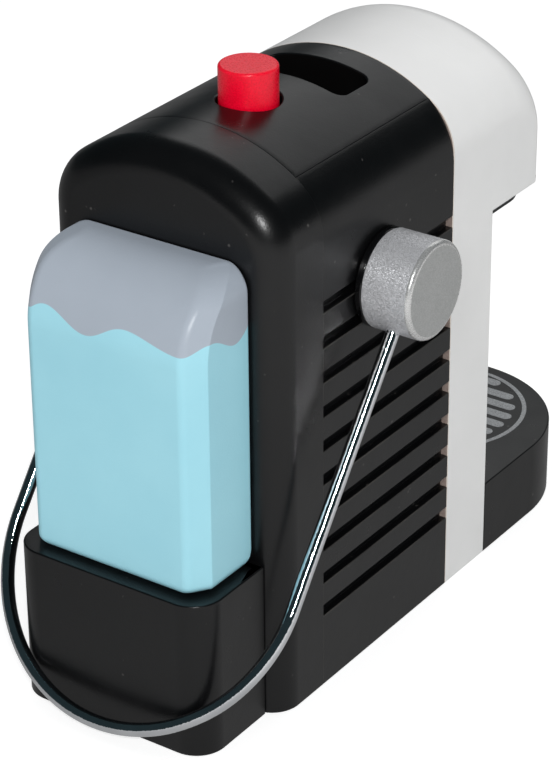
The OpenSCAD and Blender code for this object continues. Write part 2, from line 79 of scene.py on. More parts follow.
# the body's outline: a wide crown arc that runs on into the arcs of the shoulders
HALF = side_hi.x
TOP = back_hi.z
CROWN_R = 68.5
SHOULDER_R = 24.0
CROWN_Z = TOP - CROWN_R
SHOULDER_X = HALF - SHOULDER_R
SHOULDER_Z = CROWN_Z + math.sqrt((CROWN_R - SHOULDER_R) ** 2 - SHOULDER_X ** 2)
TURN = math.atan2(SHOULDER_Z - CROWN_Z, SHOULDER_X)
PIVOT = Vector((0, (knob_lo.y + knob_hi.y) / 2, (knob_lo.z + knob_hi.z) / 2))
SEAM = 0.16


# ---------------------------------------------------------------- mesh helpers
def make(name, verts, faces, body, replaced, slot, materials, pick=None):
    """A mesh object in metres from millimetre points; pick(face) gives a face's material index."""
    mesh = bpy.data.meshes.new(name)
    mesh.from_pydata([tuple(c * MM for c in v) for v in verts], [], faces)
    for m in materials:
        mesh.materials.append(m)
    bm = bmesh.new()
    bm.from_mesh(mesh)
    bmesh.ops.remove_doubles(bm, verts=bm.verts, dist=1e-6)
    bmesh.ops.dissolve_degenerate(bm, edges=bm.edges, dist=1e-6)
    bmesh.ops.recalc_face_normals(bm, faces=bm.faces)
    for f in bm.faces:
        f.smooth = True
        if pick:
            f.material_index = pick(f)
    bm.to_mesh(mesh)
    bm.free()
    obj = bpy.data.objects.new(name, mesh)
    bpy.context.scene.collection.objects.link(obj)
    mod = obj.modifiers.new("even shading", "WEIGHTED_NORMAL")
    mod.weight = 80
    mod.keep_sharp = True
    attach(obj, body)
    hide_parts(*replaced)
    return obj


def skin(rings, closed=True):
    """Vertices and faces of a tube over rings of equal length, with its ends closed or open."""
    n = len(rings[0])
    verts = [p for r in rings for p in r]
    faces = []
    for i in range(len(rings) - 1):
        for j in range(n):
            k = (j + 1) % n
            faces.append((i * n + j, i * n + k, (i + 1) * n + k, (i + 1) * n + j))
    if closed:
        faces.append(tuple(range(n - 1, -1, -1)))
        faces.append(tuple((len(rings) - 1) * n + j for j in range(n)))
    return verts, faces


def merge(*parts):
    """Several (vertices, faces) pairs as one."""
    verts, faces = [], []
    for v, f in parts:
        base = len(verts)
        verts += v
        faces += [tuple(i + base for i in g) for g in f]
    return verts, faces


def fall(r, d):
    """How far a quarter round of radius r has dropped at a distance d before its end."""
    return 0.0 if d >= r else r - math.sqrt(max(r * r - (r - d) ** 2, 0.0))


def quarter(r, n):
    """(distance from the end, inset) pairs round a quarter of radius r, from its start to its end."""
    return [(r * (1 - math.sin(math.pi / 2 * i / n)), r * (1 - math.cos(math.pi / 2 * i / n))) for i in range(n + 1)]


def arc(cx, cy, r, a0, a1, n):
    """Points with outward normals along an arc, angles in degrees."""
    out = []
    for i in range(n + 1):
        a = math.radians(a0 + (a1 - a0) * i / n)
        out.append((cx + r * math.cos(a), cy + r * math.sin(a), math.cos(a), math.sin(a)))
    return out


def rounded(points, n=4):
    """A closed outline from (x, y, radius) corners, counter-clockwise, as points with outward normals."""
    out = []
    m = len(points)
    for i in range(m):
        x, y, r = points[i]
        a = Vector((x - points[i - 1][0], y - points[i - 1][1])).normalized()
        b = Vector((points[(i + 1) % m][0] - x, points[(i + 1) % m][1] - y)).normalized()
        turn = a.angle_signed(b) * -1
        na = Vector((a.y, -a.x))
        if abs(turn) < 1e-6:
            out.append((x, y, na.x, na.y))
            continue
        side = 1 if turn > 0 else -1
        back = r * math.tan(abs(turn) / 2)
        c = Vector((x, y)) - a * back - na * r * side
        steps = max(n if r > 0.05 else 1, int(abs(math.degrees(turn)) / 10) if r > 5 else 1)
        for k in range(steps + 1):
            t = turn * k / steps
            nv = Vector((na.x * math.cos(t) - na.y * math.sin(t), na.x * math.sin(t) + na.y * math.cos(t)))
            out.append((c.x + nv.x * r * side, c.y + nv.y * r * side, nv.x, nv.y))
    return out


def arch(foot, corner=0.8):
    """The body's outline in X and Z above a foot, as points with outward normals."""
    t = math.degrees(TURN)
    pts = arc(HALF - corner, foot + corner, corner, -90, 0, 3)
    pts += arc(SHOULDER_X, SHOULDER_Z, SHOULDER_R, 0, t, 16)
    pts += arc(0, CROWN_Z, CROWN_R, t, 180 - t, 44)[1:-1]
    pts += arc(-SHOULDER_X, SHOULDER_Z, SHOULDER_R, 180 - t, 180, 16)
    pts += arc(-HALF + corner, foot + corner, corner, 180, 270, 3)
    return pts


def ends(a0, a1, r0, r1, n=3):
    """(place, inset) of the rings of a straight piece from a0 to a1 whose end edges are rounded."""
    s = 1 if a1 > a0 else -1
    first = [(a0 + s * d, i) for d, i in reversed(quarter(r0, n))]
    last = [(a1 - s * d, i) for d, i in quarter(r1, n)]
    return first + last


def along_y(outline, stations):
    """A piece that runs along Y, its outline in X and Z drawn in at each (place, inset)."""
    return skin([[(x - nx * i, y, z - nz * i) for x, z, nx, nz in outline] for y, i in stations])


def along_z(outline, stations):
    """A piece that runs along Z, its outline in X and Y drawn in at each (place, inset)."""
    return skin([[(x - nx * i, y - ny * i, z) for x, y, nx, ny in outline] for z, i in stations])


def turned(profile, n=96):
    """A piece turned on Z from (radius, height) points."""
    verts, faces = [], []
    rows = []
    for r, h in profile:
        if r < 1e-6:
            rows.append([len(verts)])
            verts.append((0.0, 0.0, h))
        else:
            rows.append([len(verts) + k for k in range(n)])
            verts += [(r * math.cos(2 * math.pi * k / n), r * math.sin(2 * math.pi * k / n), h) for k in range(n)]
    for a, b in zip(rows, rows[1:]):
        for k in range(n):
            j = (k + 1) % n
            if len(a) == 1 and len(b) > 1:
                faces.append((a[0], b[k], b[j]))
            elif len(b) == 1 and len(a) > 1:
                faces.append((a[k], b[0], a[j]))
            elif len(a) > 1:
                faces.append((a[k], b[k], b[j], a[j]))
    return verts, faces


def far_edge(r, h, edge):
    """(radius, height) points round the rounded rim at the far end of a turned piece."""
    return [(r - edge + edge * math.cos(math.radians(a)), h - edge + edge * math.sin(math.radians(a)))
            for a in range(0, 91, 10)]


def moved(part, where):
    """The part's vertices and faces, placed by a matrix."""
    verts, faces = part
    return [tuple(where @ Vector(v)) for v in verts], faces


def inside(p, loop):
    hit = False
    for i in range(len(loop)):
        (x0, y0), (x1, y1) = loop[i], loop[(i + 1) % len(loop)]
        if (y0 > p[1]) != (y1 > p[1]) and p[0] < (x1 - x0) * (p[1] - y0) / (y1 - y0) + x0:
            hit = not hit
    return hit


def beside(p, loop, d):
    return any(math.hypot(p[0] - q[0], p[1] - q[1]) < d for q in loop)


def flat(z):
    """The lift of a level face."""
    return lambda x, y: (x, y, z)


def pierced(outer, holes, lift, pitch):
    """A face in a flat domain, bounded by a loop and pierced by loops, filled with a grid of points and
    lifted to 3-D by lift(u, v)."""
    pts = [Vector(p) for p in outer]
    edges = [(i, (i + 1) % len(outer)) for i in range(len(outer))]
    for h in holes:
        b = len(pts)
        pts += [Vector(p) for p in h]
        edges += [(b + i, b + (i + 1) % len(h)) for i in range(len(h))]
    us, vs = [p[0] for p in outer], [p[1] for p in outer]
    nu = max(1, round((max(us) - min(us)) / pitch))
    nv = max(1, round((max(vs) - min(vs)) / pitch))
    for i in range(1, nu):
        for j in range(1, nv):
            p = (min(us) + (max(us) - min(us)) * i / nu, min(vs) + (max(vs) - min(vs)) * j / nv)
            if inside(p, outer) and not beside(p, outer, pitch * 0.45) \
                    and not any(inside(p, h) or beside(p, h, pitch * 0.5) for h in holes):
                pts.append(Vector(p))
    co, _, tris, _, _, _ = delaunay_2d_cdt(pts, edges, [], 0, 1e-7)
    faces = []
    for t in tris:
        c = (sum(co[i][0] for i in t) / 3, sum(co[i][1] for i in t) / 3)
        if inside(c, outer) and not any(inside(c, h) for h in holes):
            faces.append(tuple(t))
    return [lift(p[0], p[1]) for p in co], faces


def wall(loops):
    """Faces between successive closed loops, open at both ends."""
    return skin(loops, closed=False)


def bare_loop(outline, inset=0.0):
    """The outline's points without their normals, drawn in by an inset."""
    return [(x - nx * inset, y - ny * inset) for x, y, nx, ny in outline]


def divided(outline, step):
    """The outline with points added along its long straight sides."""
    out = []
    for a, b in zip(outline, outline[1:] + outline[:1]):
        n = max(1, round(math.hypot(b[0] - a[0], b[1] - a[1]) / step))
        out += [tuple(a[k] + (b[k] - a[k]) * i / n for k in range(4)) for i in range(n)]
    return out


# ---------------------------------------------------------------- material helpers
def srgb(r, g, b):
    """A colour of 0 to 255 as the linear colour that a shader takes."""
    def f(c):
        c /= 255.0
        return c / 12.92 if c <= 0.04045 else ((c + 0.055) / 1.055) ** 2.4
    return (f(r), f(g), f(b), 1.0)


class Nodes:
    """A material's node tree, with short ways to add nodes; every pattern takes object coordinates."""

    def __init__(self, name):
        self.mat = bpy.data.materials.new(name)
        self.mat.use_nodes = True
        self.tree = self.mat.node_tree
        self.shader = self.tree.nodes["Principled BSDF"]
        self.place = self.tree.nodes.new("ShaderNodeTexCoord").outputs["Object"]

    def set(self, **values):
        for key, value in values.items():
            self.shader.inputs[key.replace("_", " ")].default_value = value

    def link(self, a, b):
        self.tree.links.new(a, b)

    def new(self, kind, **values):
        node = self.tree.nodes.new(kind)
        for key, value in values.items():
            setattr(node, key, value)
        return node

    def noise(self, scale, detail, rough, vector=None):
        node = self.new("ShaderNodeTexNoise")
        node.inputs["Scale"].default_value = scale
        node.inputs["Detail"].default_value = detail
        node.inputs["Roughness"].default_value = rough
        self.link(vector or self.place, node.inputs["Vector"])
        return node.outputs["Fac"]

    def cells(self, scale):
        node = self.new("ShaderNodeTexVoronoi")
        node.inputs["Scale"].default_value = scale
        self.link(self.place, node.inputs["Vector"])
        return node

    def stretch(self, x, y, z):
        node = self.new("ShaderNodeMapping")
        node.inputs["Scale"].default_value = (x, y, z)
        self.link(self.place, node.inputs["Vector"])
        return node.outputs["Vector"]

    def ramp(self, source, stops):
        """Two colours with their places on a pattern that runs from 0 to 1."""
        node = self.new("ShaderNodeValToRGB")
        for e, (at, c) in zip(node.color_ramp.elements, stops):
            e.position = at
            e.color = c if len(c) == 4 else (*c, 1.0)
        self.link(source, node.inputs["Fac"])
        return node.outputs["Color"]

    def level(self, source, lo, hi, to_lo, to_hi):
        """A pattern's range carried over to another range."""
        node = self.new("ShaderNodeMapRange")
        for key, value in zip(("From Min", "From Max", "To Min", "To Max"), (lo, hi, to_lo, to_hi)):
            node.inputs[key].default_value = value
        self.link(source, node.inputs["Value"])
        return node.outputs["Result"]

    def sum(self, a, b, op="ADD"):
        """Two patterns, or a pattern and a number, joined by a maths operation."""
        node = self.new("ShaderNodeMath", operation=op)
        for k, v in enumerate((a, b)):
            if isinstance(v, (int, float)):
                node.inputs[k].default_value = v
            else:
                self.link(v, node.inputs[k])
        return node.outputs["Value"]

    def blend(self, fac, a, b):
        """One colour over another by a factor; each is a pattern or a value."""
        node = self.new("ShaderNodeMix", data_type="RGBA")
        for key, v in (("Factor", fac), ("A", a), ("B", b)):
            socket = next(s for s in node.inputs
                          if s.name == key and s.enabled and (s.type == "RGBA" or key == "Factor"))
            if isinstance(v, (int, float, tuple)):
                socket.default_value = v
            else:
                self.link(v, socket)
        return next(s for s in node.outputs if s.type == "RGBA" and s.enabled)

    def bump(self, height, distance, strength, below=None):
        node = self.new("ShaderNodeBump")
        node.inputs["Strength"].default_value = strength
        node.inputs["Distance"].default_value = distance
        self.link(height, node.inputs["Height"])
        if below:
            self.link(below, node.inputs["Normal"])
        return node.outputs["Normal"]

    def color(self, socket):
        self.link(socket, self.shader.inputs["Base Color"])

    def rough(self, socket):
        self.link(socket, self.shader.inputs["Roughness"])

    def normal(self, socket):
        self.link(socket, self.shader.inputs["Normal"])


def paint(name, dark, light, rough_lo, rough_hi, peel=0.00006, peel_scale=900, specks=None, gleam=0.5):
    """Sprayed paint: slow colour drift, orange peel, uneven gloss and a few dust specks."""
    m = Nodes(name)
    tone = m.noise(28, 3, 0.55)
    color = m.ramp(tone, [(0.3, dark), (0.7, light)])
    if specks:
        dots = m.level(m.cells(210).outputs["Distance"], 0.0, 0.16, 1.0, 0.0)
        few = m.level(m.noise(330, 0, 0.5), 0.66, 0.70, 0.0, 1.0)
        color = m.blend(m.sum(dots, few, "MULTIPLY"), color, specks)
    m.color(color)
    m.rough(m.level(m.noise(65, 4, 0.6), 0.3, 0.7, rough_lo, rough_hi))
    grain = m.bump(m.noise(peel_scale, 2, 0.5), peel, 0.6)
    m.normal(m.bump(m.noise(120, 2, 0.5), peel * 2.2, 0.5, grain))
    m.set(Specular_IOR_Level=gleam)
    return m.mat


black = paint("black_paint", srgb(6, 6, 7), srgb(10, 10, 11), 0.27, 0.33, peel=0.00005, peel_scale=1500,
              specks=srgb(84, 82, 80), gleam=0.45)
# painted highlight and wear: a lighter grey for the upward-facing groove lips, where light catches them, and for the
# side boards' rubbed rear edges
lip_highlight_and_wear = paint("edge_highlight_and_wear", srgb(34, 33, 32), srgb(66, 64, 61), 0.45, 0.55)
cream = paint("cream_edge", srgb(204, 195, 186), srgb(222, 214, 205), 0.5, 0.6)
# painted shade: a darker, duller black for the insides of the slot and the button's well
recess_shade_black = paint("recess_shade_black", srgb(5, 5, 5), srgb(9, 8, 8), 0.5, 0.65, gleam=0.1)
white = paint("white_paint", srgb(232, 232, 231), srgb(237, 237, 236), 0.34, 0.44, peel=0.00005)
gloss = paint("black_gloss", srgb(8, 8, 9), srgb(12, 12, 13), 0.10, 0.16, peel=0.00003)


def bare_wood():
    """Pale hardwood, with its fibres along Z and faint rings."""
    m = Nodes("bare_wood")
    fibres = m.noise(60, 6, 0.65, m.stretch(6, 6, 0.7))
    rings = m.new("ShaderNodeTexWave", wave_type="RINGS", rings_direction="Z")
    rings.inputs["Scale"].default_value = 160
    rings.inputs["Distortion"].default_value = 5
    rings.inputs["Detail"].default_value = 3
    m.link(m.place, rings.inputs["Vector"])
    color = m.ramp(fibres, [(0.3, srgb(196, 160, 122)), (0.72, srgb(226, 196, 162))])
    m.color(m.blend(m.level(rings.outputs["Fac"], 0.3, 1, 0, 0.25), color, srgb(176, 132, 92)))
    m.rough(m.level(fibres, 0.3, 0.7, 0.62, 0.8))
    m.normal(m.bump(fibres, 0.00012, 0.6))
    return m.mat


def raw_board():
    """The unpainted face of a fibre board, seen where the grooves end."""
    m = Nodes("raw_board")
    fluff = m.noise(900, 5, 0.7)
    m.color(m.ramp(fluff, [(0.3, srgb(128, 112, 106)), (0.7, srgb(160, 144, 136))]))
    m.rough(m.level(fluff, 0.3, 0.7, 0.75, 0.9))
    m.normal(m.bump(fluff, 0.00015, 0.7))
    return m.mat


def sparkle(name, dark, light, metallic, rough_lo, rough_hi, flake, lean):
    """Metallic paint: flakes (so many to the metre) of differing tone, which lean by up to half of lean's
    share along X, Y and Z."""
    m = Nodes(name)
    flakes = m.cells(flake).outputs["Color"]
    each = m.new("ShaderNodeSeparateColor")
    m.link(flakes, each.inputs["Color"])
    tone = m.sum(m.sum(each.outputs["Red"], 0.75, "MULTIPLY"), m.sum(m.noise(160, 3, 0.6), 0.35, "MULTIPLY"))
    m.color(m.ramp(tone, [(0.15, dark), (0.85, light)]))
    m.rough(m.level(each.outputs["Green"], 0, 1, rough_lo, rough_hi))
    off = m.new("ShaderNodeVectorMath", operation="SUBTRACT")
    m.link(flakes, off.inputs[0])
    off.inputs[1].default_value = (0.5, 0.5, 0.5)
    less = m.new("ShaderNodeVectorMath", operation="MULTIPLY")
    m.link(off.outputs["Vector"], less.inputs[0])
    less.inputs[1].default_value = lean
    leaning = m.new("ShaderNodeVectorMath", operation="ADD")
    m.link(m.bump(m.noise(420, 3, 0.6), 0.00002, 0.6), leaning.inputs[0])
    m.link(less.outputs["Vector"], leaning.inputs[1])
    unit = m.new("ShaderNodeVectorMath", operation="NORMALIZE")
    m.link(leaning.outputs["Vector"], unit.inputs[0])
    m.normal(unit.outputs["Vector"])
    m.set(Metallic=metallic)
    return m.mat


def chrome():
    """Plated wire with a faintly rippled surface."""
    m = Nodes("chrome_wire")
    m.color(m.ramp(m.noise(90, 2, 0.5), [(0.3, srgb(214, 216, 219)), (0.7, srgb(230, 232, 235))]))
    m.rough(m.level(m.noise(240, 3, 0.6), 0.3, 0.7, 0.02, 0.045))
    m.normal(m.bump(m.noise(170, 2, 0.5), 0.00003, 0.5, m.bump(m.noise(1000, 2, 0.5), 0.00008, 0.8)))
    m.set(Metallic=1.0)
    return m.mat


def steel():
    """Dull drawn steel."""
    m = Nodes("steel")
    m.color(m.ramp(m.noise(300, 3, 0.6), [(0.3, srgb(150, 151, 154)), (0.7, srgb(182, 183, 186))]))
    m.rough(m.level(m.noise(700, 3, 0.6), 0.3, 0.7, 0.28, 0.42))
    m.normal(m.bump(m.noise(1500, 2, 0.5), 0.00003, 0.5))
    m.set(Metallic=1.0)
    return m.mat


# the painted water's edge, in metres and radians: its height, and (radians per metre, phase, height) of its waves
WATER_LEVEL = 0.15974
WAVES = ((180, 1.38, 0.0027), (228, -0.33, 0.00103), (84, 2.79, 0.00082))


def tank_paint():
    """Two sprayed colours that meet at a hand-cut wavy line running round the tank."""
    m = Nodes("tank_paint")
    xyz = m.new("ShaderNodeSeparateXYZ")
    m.link(m.place, xyz.inputs["Vector"])
    run = m.sum(m.sum(xyz.outputs["X"], -1.0, "MULTIPLY"), m.sum(xyz.outputs["Y"], -1.15, "MULTIPLY"))
    first, second, third = (m.sum(m.sum(m.sum(m.sum(run, k, "MULTIPLY"), phase), 0.0, "SINE"), height, "MULTIPLY")
                            for k, phase, height in WAVES)
    line = m.sum(m.sum(first, second), m.sum(third, WATER_LEVEL))
    above = m.level(m.sum(xyz.outputs["Z"], line, "SUBTRACT"), -0.00012, 0.00012, 0.0, 1.0)
    drift = m.noise(24, 3, 0.55)
    low = m.ramp(drift, [(0.3, srgb(156, 212, 226)), (0.7, srgb(162, 217, 230))])
    high = m.ramp(drift, [(0.3, srgb(162, 171, 182)), (0.7, srgb(168, 177, 188))])
    m.color(m.blend(above, low, high))
    m.rough(m.level(m.noise(65, 4, 0.6), 0.3, 0.7, 0.31, 0.39))
    grain = m.bump(m.noise(1400, 2, 0.5), 0.00007, 0.7)
    m.normal(m.bump(m.noise(140, 2, 0.5), 0.00010, 0.5, grain))
    return m.mat


wood = bare_wood()
raw = raw_board()
# the knobs are turned, so their flakes lean mostly along the axle
silver = sparkle("silver_paint", srgb(194, 195, 198), srgb(234, 234, 237), 0.5, 0.44, 0.52, 3600, (1.0, 0.2, 0.2))
# painted shade: the knobs' end faces take a darker, duller copy of the silver paint with little lean
shaded_silver_face = sparkle("shaded_silver_face", srgb(158, 159, 158), srgb(180, 181, 180), 0.3, 0.50, 0.58, 3600, (0.1, 0.1, 0.1))
# painted highlight: the knobs' rims take a lighter, glossier copy of the silver paint
silver_rim_highlight = sparkle("silver_rim_highlight", srgb(206, 206, 205), srgb(226, 226, 225), 0.7, 0.26, 0.34, 3200, (0.1, 0.1, 0.1))
silver_print = sparkle("silver_print", srgb(138, 140, 142), srgb(176, 178, 180), 0.35, 0.42, 0.58, 2600,
                       (0.2, 0.2, 0.2))
red = sparkle("red_paint", srgb(228, 0, 34), srgb(248, 3, 48), 0.0, 0.25, 0.34, 2200, (0.05, 0.05, 0.05))
chromed = chrome()
steely = steel()
tank_mat = tank_paint()

# ---------------------------------------------------------------- white front panel and head
CLOSE_SEAM, PANEL_ROUND, BARE_EDGE = 0.03, 0.3, 0.24
HEAD_ROUND, HEAD_EDGE, HEAD_STEPS = 17.0, 2.5, 20
arch_line = arch(0)


def panel_face(f):
    """Paint, the bare board behind, or the cream undercoat where the paint of the rear edge is rubbed through."""
    if f.calc_center_median().y < (panel_hi.y - BARE_EDGE) * MM:
        return 0
    return 1 if f.normal.y > 0.99 else 2


make("front_panel_shell", *along_y(arch_line, ends(panel_lo.y, panel_hi.y, CLOSE_SEAM, PANEL_ROUND)), "housing",
     ["front_panel"], "white_paint", [white, raw, cream], pick=panel_face)

head_line = arch(head_lo.z)
rings = [[(x - nx * i, head_hi.y - d, z - nz * i) for x, z, nx, nz in head_line]
         for d, i in ((0.0, CLOSE_SEAM), (CLOSE_SEAM, 0.0))]
for k in range(HEAD_STEPS + 1):
    d = HEAD_ROUND * (1 - math.sin(math.pi / 2 * k / HEAD_STEPS))
    drop, inset = fall(HEAD_ROUND, d), fall(HEAD_EDGE, d)
    rings.append([(x - nx * inset, head_lo.y + d,
                   (z - drop if z > head_lo.z + 2 else z) - (nz * inset if nz < 0 else 0.0))
                  for x, z, nx, nz in head_line])
make("head_shell", *skin(rings), "housing", ["head_block"], "white_paint", [white])

# ---------------------------------------------------------------- black side panels with their grooves
GROOVE_TOP, GROOVE_PITCH, GROOVE_H, GROOVE_D, GROOVES = TOP - 56.2, 13.86, 4.7, 3.0, 10
LIP_ROUND, ROOT_ROUND = 0.35, 0.25
ABOVE_ALL = 300
inner = top_hi.x
corners = [(inner, 0, 0.3), (HALF, 0, 0.8)]
for i in reversed(range(GROOVES)):
    z1 = GROOVE_TOP - i * GROOVE_PITCH
    z0 = z1 - GROOVE_H
    corners += [(HALF, z0, LIP_ROUND), (HALF - GROOVE_D, z0, ROOT_ROUND),
                (HALF - GROOVE_D, z1, ROOT_ROUND), (HALF, z1, LIP_ROUND)]
section = [p for p in rounded(corners + [(HALF, ABOVE_ALL, 0), (inner, ABOVE_ALL, 0)], 3) if p[1] < ABOVE_ALL - 1]
# the boards' shoulders are rounded a little more than the crown, so a faint crease shows along the seams
EASED_R = 31.0
crest = CROWN_Z + math.sqrt(CROWN_R ** 2 - inner ** 2)
eased = math.acos((inner - HALF + EASED_R) / EASED_R)
shoulder = arc(HALF - EASED_R, crest - EASED_R * math.sin(eased), EASED_R, 0, math.degrees(eased), 16)
last = shoulder[-1]
section += shoulder[:-1] + [(last[0] + SEAM * 0.8, last[1] - SEAM * 0.3, last[2], last[3]),
                            (inner, last[1] - SEAM, -1, 0)]


def board_face(f):
    """Lighter grey on the groove edges that face upwards, a painted highlight, and along the rear edge, where the
    paint is rubbed.
    """
    c = f.calc_center_median() / MM
    lip = abs(c.x) > HALF - 0.34 and 0.2 < f.normal.z < 0.98 and c.z < GROOVE_TOP + 1
    return 1 if lip or c.y > side_hi.y - 0.15 and f.normal.y < 0.95 else 0


for side, line in (("right", section), ("left", [(-x, z, -nx, nz) for x, z, nx, nz in reversed(section)])):
    make(side + "_panel_shell", *along_y(line, ends(side_lo.y, side_hi.y, SEAM, SEAM, 2)), "housing",
         [side + "_side_panel"], "black_paint", [black, lip_highlight_and_wear], pick=board_face)

# ---------------------------------------------------------------- crown block with the slot and the button's well
SLOT_W, SLOT_L, SLOT_R, SLOT_PLACE = 45.0, 20.4, 4.5, 23.5
WELL_GAP, WELL_DEPTH = 1.05, 26.0
STEM_BORE, STEM_BORE_DEPTH = 4.1, 17
EDGE = 0.7


def crown(u, y, down=0.0):
    """A point at a depth under the crown, from its place along the arc and its Y."""
    a = u / CROWN_R
    return ((CROWN_R - down) * math.sin(a), y, CROWN_Z + (CROWN_R - down) * math.cos(a))


def to_u(x):
    """The place along the crown's arc at X."""
    return CROWN_R * math.asin(x / CROWN_R)


def grown(outline):
    """A hole's outline where its rounded rim meets the crown, as places along the arc and Y."""
    return [(to_u(x + nx * EDGE), y + ny * EDGE) for x, y, nx, ny in outline]


def hole_rounding(outline, foot):
    """A hole's wall from its rounded rim down to its foot; the outline's normals point into the wood."""
    loops = []
    for k in range(5):
        a = math.pi / 2 * k / 4
        grow, down = EDGE * (1 - math.sin(a)), EDGE * (1 - math.cos(a))
        loops.append([crown(to_u(x + nx * grow), y + ny * grow, down) for x, y, nx, ny in outline])
    return wall(loops + [[(x, y, foot) for x, y, nx, ny in outline]])


def strip(n, a, b):
    return [(a[0] + (b[0] - a[0]) * k / n, a[1] + (b[1] - a[1]) * k / n) for k in range(n)]


slot_mid = Vector((0.0, panel_hi.y + SLOT_PLACE))
slot_line = [(x * SLOT_W / 2, slot_mid.y + y * SLOT_L / 2, SLOT_R) for x, y in ((-1, -1), (1, -1), (1, 1), (-1, 1))]
slot = divided(rounded(slot_line, 10), 1.6)
button_mid = (cap_lo + cap_hi) / 2
WELL_R = (cap_hi.x - cap_lo.x) / 2 + WELL_GAP
well = arc(0, button_mid.y, WELL_R, 0, 360, 72)[:-1]

u_end, y_near, y_far = to_u(inner) - SEAM, top_lo.y + SEAM, top_hi.y - SEAM
corners = [(-u_end, y_near), (u_end, y_near), (u_end, y_far), (-u_end, y_far)]
outer = [p for n, a, b in zip((40, 36, 40, 36), corners, corners[1:] + corners[:1]) for p in strip(n, a, b)]
top_face = pierced(outer, [grown(slot), grown(well)], crown, 2.2)
eased_rim = []
for u, y in outer:
    du = SEAM if abs(abs(u) - u_end) < 1e-6 else 0.0
    dy = SEAM if min(abs(y - y_near), abs(y - y_far)) < 1e-6 else 0.0
    eased_rim.append(crown(u + math.copysign(du, u), y + math.copysign(dy, y - (y_near + y_far) / 2), SEAM))
foot_rim = [(x, y, top_lo.z) for x, y, z in eased_rim]
under = pierced([(x, y) for x, y, z in foot_rim], [bare_loop(slot)], flat(top_lo.z), 12)
floor_z = TOP - WELL_DEPTH
bore = [(STEM_BORE * nx, button_mid.y + STEM_BORE * ny) for x, y, nx, ny in well]
well_floor = wall([[(x, y, floor_z) for x, y, nx, ny in well], [(x, y, floor_z) for x, y in bore],
                   [(x, y, floor_z - STEM_BORE_DEPTH) for x, y in bore]])
block = merge(top_face, wall([[crown(u, y) for u, y in outer], eased_rim, foot_rim]), under,
              hole_rounding(slot, top_lo.z), hole_rounding(well, floor_z), well_floor)


def block_face(f):
    """The walls of the slot and the well and the underside take a darker, duller black: painted shade inside the
    recesses.
    """
    c = f.calc_center_median() / MM
    if abs(c.x) < SLOT_W / 2 + 0.05 and abs(c.y - slot_mid.y) < SLOT_L / 2 + 0.05 and f.normal.z < 0.3:
        return 1
    in_well = math.hypot(c.x, c.y - button_mid.y) < WELL_R + 0.02
    return 1 if f.normal.z < -0.9 or in_well and f.normal.z < 0.3 else 0


make("crown_block", *block, "housing", ["top_block"], "black_paint", [black, recess_shade_black], pick=block_face)

# ---------------------------------------------------------------- back board, rounded all along its rear edge
BACK_ROUND = 11.5


def narrowed(y, i):
    """The body's outline at a depth y, drawn in by i at its sides and crown but not at its foot."""
    return [(x - (math.copysign(i, x) if nz < 0 else nx * i), y, z - max(nz, 0) * i) for x, z, nx, nz in arch_line]


rings = [narrowed(back_lo.y, SEAM), narrowed(back_lo.y + SEAM * 0.3, SEAM * 0.3), narrowed(back_lo.y + SEAM, 0.0)]
rings += [narrowed(back_hi.y - d, i) for d, i in quarter(BACK_ROUND, 18)]
make("back_board_shell", *skin(rings), "housing", ["back_board"], "black_paint", [black])

# ---------------------------------------------------------------- base block
BASE_CORNER, BASE_FOOT, BASE_TOP = 0.8, 0.8, 0.7
line = arc(0, base_lo.y + HALF, HALF, 180, 360, 72)
line += arc(HALF - BASE_CORNER, base_hi.y - BASE_CORNER, BASE_CORNER, 0, 90, 3)
line += arc(-HALF + BASE_CORNER, base_hi.y - BASE_CORNER, BASE_CORNER, 90, 180, 3)
make("base_shell", *along_z(line, ends(0, base_hi.z, BASE_FOOT, BASE_TOP, 4)), "housing", ["base_block"],
     "black_paint", [black])

# ---------------------------------------------------------------- brew plate and spout
PLATE_FRONT, PLATE_REAR = 15.0, 0.6
SPOUT_EDGE, SPOUT_FOOT, SPOUT_MOUTH = 0.4, 3, 3.5
line = rounded([(plate_lo.x, plate_lo.y, PLATE_FRONT), (plate_hi.x, plate_lo.y, PLATE_FRONT),
                (plate_hi.x, plate_hi.y, PLATE_REAR), (plate_lo.x, plate_hi.y, PLATE_REAR)], 8)
make("brew_plate_shell", *along_z(line, ends(plate_lo.z, plate_hi.z, 0.5, 0.2, 3)), "housing", ["brew_plate"],
     "black_paint", [black])
spout_r, spout_h = (spout_hi.x - spout_lo.x) / 2, spout_hi.z - spout_lo.z
profile = [(0, spout_h), (spout_r - SPOUT_EDGE, spout_h), (spout_r, spout_h - SPOUT_EDGE)]
profile += [(spout_r - SPOUT_FOOT + SPOUT_FOOT * math.cos(math.radians(a)),
             SPOUT_FOOT - SPOUT_FOOT * math.sin(math.radians(a))) for a in range(0, 91, 9)]
profile += [(SPOUT_MOUTH + 0.6, 0), (SPOUT_MOUTH + 0.2, 0.1), (SPOUT_MOUTH, 0.5), (SPOUT_MOUTH, 5.0), (0, 5.0)]
under_head = Matrix.Translation((0, (spout_lo.y + spout_hi.y) / 2, spout_lo.z))
make("spout_shell", *moved(turned(profile, 72), under_head), "housing", ["coffee_spout"], "black_paint", [black])

# ---------------------------------------------------------------- ledge under the tank
LEDGE_REAR, LEDGE_FRONT, LEDGE_FOOT, LEDGE_EDGE = 12.0, 0.4, 0.7, 0.6
PEG_SPAN, PEG_HOLE, PEG_ROOM, PEG_RIM = 44.0, 4.3, 10.5, 0.3
peg_y = (peg_lo.y + peg_hi.y) / 2
ledge_line = rounded([(ledge_lo.x, ledge_lo.y, LEDGE_FRONT), (ledge_hi.x, ledge_lo.y, LEDGE_FRONT),
                      (ledge_hi.x, ledge_hi.y, LEDGE_REAR), (ledge_lo.x, ledge_hi.y, LEDGE_REAR)], 12)
pegs = [arc(s * PEG_SPAN / 2, peg_y, PEG_HOLE, 0, 360, 36)[:-1] for s in (-1, 1)]


def ring_at(outline, grow, z):
    return [(x + nx * grow, y + ny * grow, z) for x, y, nx, ny in outline]


